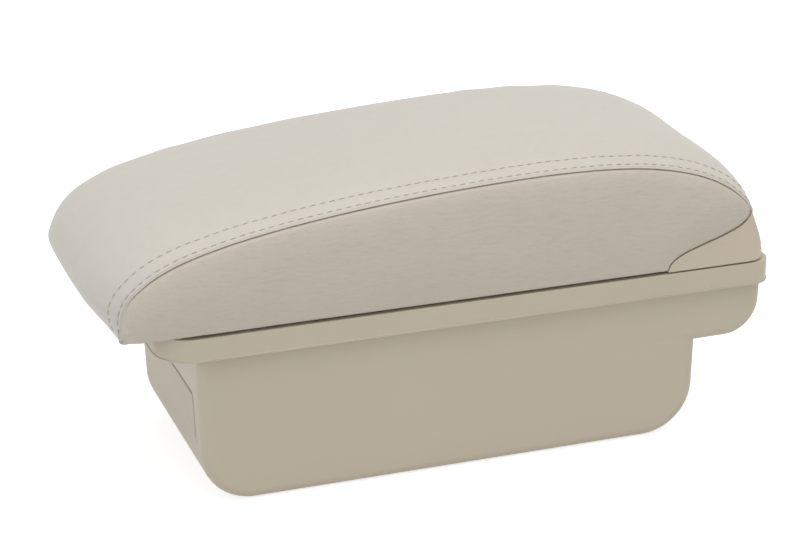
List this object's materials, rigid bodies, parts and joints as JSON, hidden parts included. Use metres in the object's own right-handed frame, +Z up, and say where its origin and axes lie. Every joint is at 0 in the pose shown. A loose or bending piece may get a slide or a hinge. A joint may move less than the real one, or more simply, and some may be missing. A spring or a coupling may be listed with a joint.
{
  "type": "car centre armrest",
  "caption": "Padded car armrest whose lid slides forward on a carrier hinged at the rear of a stepped storage box.",
  "frame": {"origin": "centre of the floor screw pattern, on the underside of the storage box", "axes": "+X towards the rear of the car and the hinge, +Y across the car, +Z up out of the box"},
  "size_m": [0.3229, 0.119, 0.1463],
  "materials": {
    "moulded_plastic": "fine grained, matte beige",
    "dark_plastic": "moulded, matte dark grey",
    "runner_plastic": "smooth low friction grey plastic",
    "leather": "fine grained artificial leather, soft sheen",
    "foam": "open cell polyurethane foam",
    "rubber": "matte ribbed rubber",
    "felt": "needled grey felt",
    "zinc_steel": "zinc plated steel",
    "magnet_nickel": "nickel plated magnet"
  },
  "bodies": {
    "box": {"storage_box": "moulded_plastic", "anti_rattle_discs": "rubber", "rim_frame": "moulded_plastic", "rim_screws": "zinc_steel", "floor_mat": "rubber", "shelf_mat": "rubber", "rim_bumpers": "rubber", "catch_plate": "zinc_steel", "hinge_pin": "zinc_steel"},
    "carrier": {"lid_carrier": "moulded_plastic", "rear_cover": "moulded_plastic", "cover_screws": "zinc_steel", "catch_magnet": "magnet_nickel", "lid_lining": "felt", "slide_felts": "felt"},
    "pad": {"pad_base": "dark_plastic", "foam_pad": "foam", "top_cover": "leather", "side_cover_left": "leather", "side_cover_right": "leather", "slide_runner_left": "runner_plastic", "slide_runner_right": "runner_plastic", "runner_screws": "zinc_steel", "cover_staples": "zinc_steel"}
  },
  "joints": [
    {"name": "lid_hinge", "type": "hinge", "parent": "box", "child": "carrier", "pos_m": [0.1616, 0, 0.0864], "axis": [0, 1, 0], "range_deg": [0, 95]},
    {"name": "pad_slide", "type": "slide", "parent": "carrier", "child": "pad", "axis": [-1, 0, 0], "range_m": [0, 0.06]}
  ]
}
